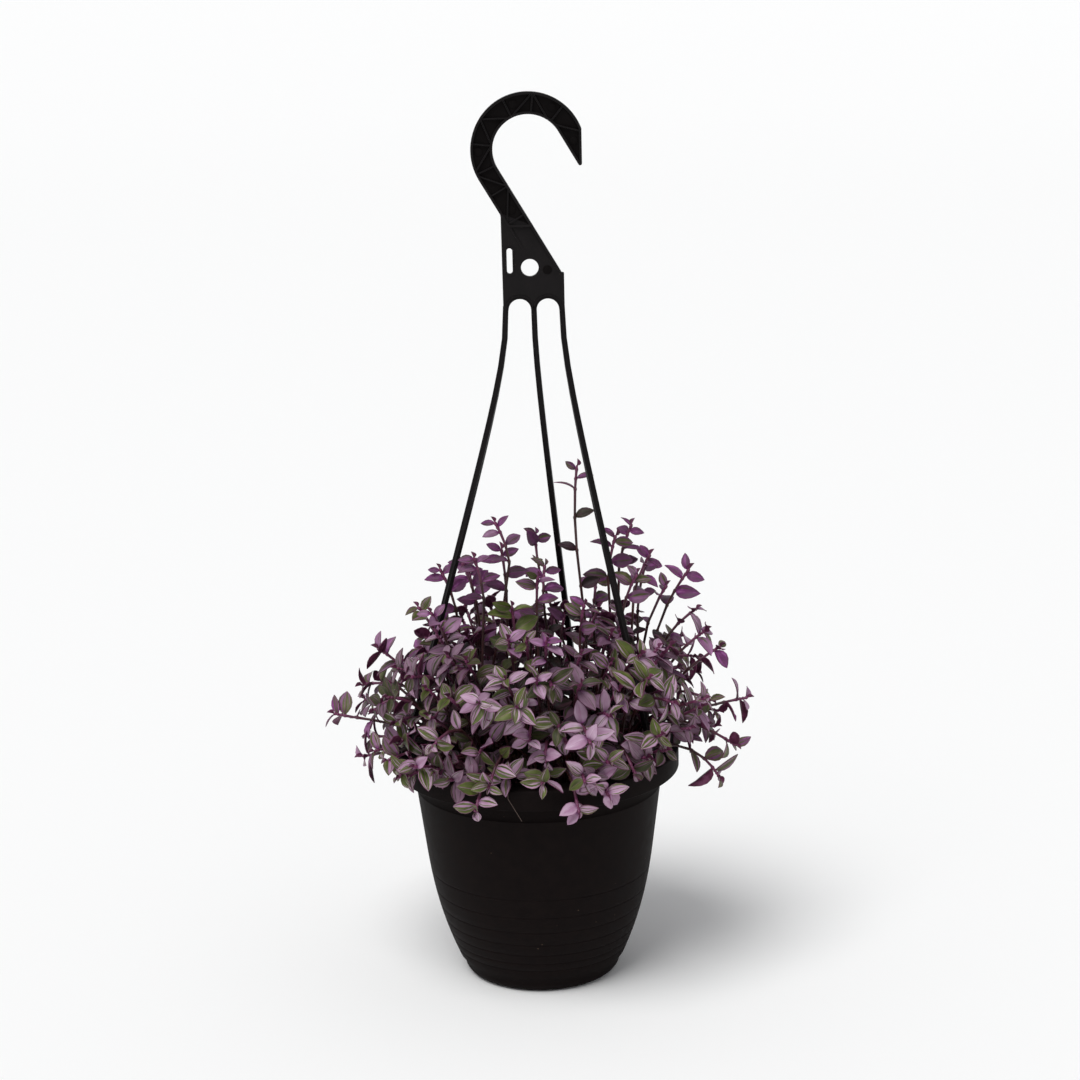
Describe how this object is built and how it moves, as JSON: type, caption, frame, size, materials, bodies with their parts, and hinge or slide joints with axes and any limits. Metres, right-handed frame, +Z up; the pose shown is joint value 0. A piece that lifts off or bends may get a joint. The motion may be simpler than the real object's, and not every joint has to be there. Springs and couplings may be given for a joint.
{
  "type": "potted tradescantia in a hanging pot",
  "caption": "Trailing tradescantia with striped lilac and green leaves in a round dark plastic hanging pot with a moulded hook hanger on strands clipped to the rim",
  "frame": {"origin": "centre of the flat underside of the pot", "axes": "+Z up from the foot of the pot to the hook, +X to the right when the open side of the hook faces right, -Y towards the viewer in front of the flat hook"},
  "size_m": [0.2271, 0.19, 0.4678],
  "materials": {
    "pot_plastic": "matte injection moulded polypropylene",
    "hanger_plastic": "satin injection moulded polypropylene",
    "potting_mix": "loose damp peat and bark fibre",
    "leaf": "satin leaf skin, lilac with green stripes"
  },
  "bodies": {
    "root": {"pot": "pot_plastic", "hanger": "hanger_plastic", "potting_soil": "potting_mix", "shoot_01": "leaf", "shoot_02": "leaf", "shoot_03": "leaf", "shoot_04": "leaf", "shoot_05": "leaf", "shoot_06": "leaf", "shoot_07": "leaf", "shoot_08": "leaf", "shoot_09": "leaf", "shoot_10": "leaf", "shoot_11": "leaf", "shoot_12": "leaf", "shoot_13": "leaf", "shoot_14": "leaf", "shoot_15": "leaf", "shoot_16": "leaf", "shoot_17": "leaf", "shoot_18": "leaf", "shoot_19": "leaf", "shoot_20": "leaf", "shoot_21": "leaf", "shoot_22": "leaf", "shoot_23": "leaf", "shoot_24": "leaf", "shoot_25": "leaf", "shoot_26": "leaf", "shoot_27": "leaf", "shoot_28": "leaf", "shoot_29": "leaf", "shoot_30": "leaf", "shoot_31": "leaf", "shoot_32": "leaf", "shoot_33": "leaf", "shoot_34": "leaf", "shoot_35": "leaf", "shoot_36": "leaf", "shoot_37": "leaf", "shoot_38": "leaf", "shoot_39": "leaf", "shoot_40": "leaf", "shoot_41": "leaf", "shoot_42": "leaf", "shoot_43": "leaf", "shoot_44": "leaf", "shoot_45": "leaf", "shoot_46": "leaf", "shoot_47": "leaf", "shoot_48": "leaf", "shoot_49": "leaf", "shoot_50": "leaf", "shoot_51": "leaf", "shoot_52": "leaf", "shoot_53": "leaf", "shoot_54": "leaf"}
  },
  "joints": []
}
